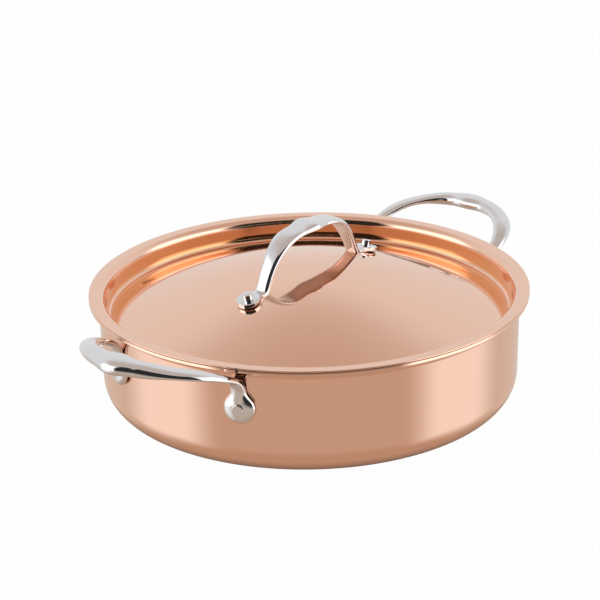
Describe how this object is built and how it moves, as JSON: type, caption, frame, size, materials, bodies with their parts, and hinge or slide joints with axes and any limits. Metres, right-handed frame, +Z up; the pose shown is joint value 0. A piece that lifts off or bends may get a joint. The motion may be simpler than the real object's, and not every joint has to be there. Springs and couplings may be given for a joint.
{
  "type": "braiser with lid",
  "caption": "Wide, shallow round braising pan of copper-clad sheet with riveted cast loop handles and a drop-in domed lid lifted by an arched strap handle.",
  "frame": {"origin": "middle of the flat underside of the pan, on the surface it stands on", "axes": "+X through the middles of both side handles and along the lid's strap handle, +Y to the back, +Z up"},
  "size_m": [0.3982, 0.298, 0.1248],
  "materials": {
    "polished_copper": "polished",
    "aluminium_core": "satin",
    "steel_lining": "satin",
    "polished_steel": "polished"
  },
  "bodies": {
    "pan": {"pan_copper_shell": "polished_copper", "pan_aluminium_core": "aluminium_core", "pan_steel_lining": "steel_lining", "handle_left": "polished_steel", "handle_right": "polished_steel", "pan_rivet_left_front": "polished_steel", "pan_rivet_left_back": "polished_steel", "pan_rivet_right_front": "polished_steel", "pan_rivet_right_back": "polished_steel"},
    "lid": {"lid_copper_shell": "polished_copper", "lid_steel_lining": "steel_lining", "lid_handle": "polished_steel", "lid_rivet_left": "polished_steel", "lid_rivet_right": "polished_steel"}
  },
  "joints": [
    {"name": "lid_lift", "type": "slide", "parent": "pan", "child": "lid", "axis": [0, 0, 1], "range_m": [0, 0.12]}
  ]
}
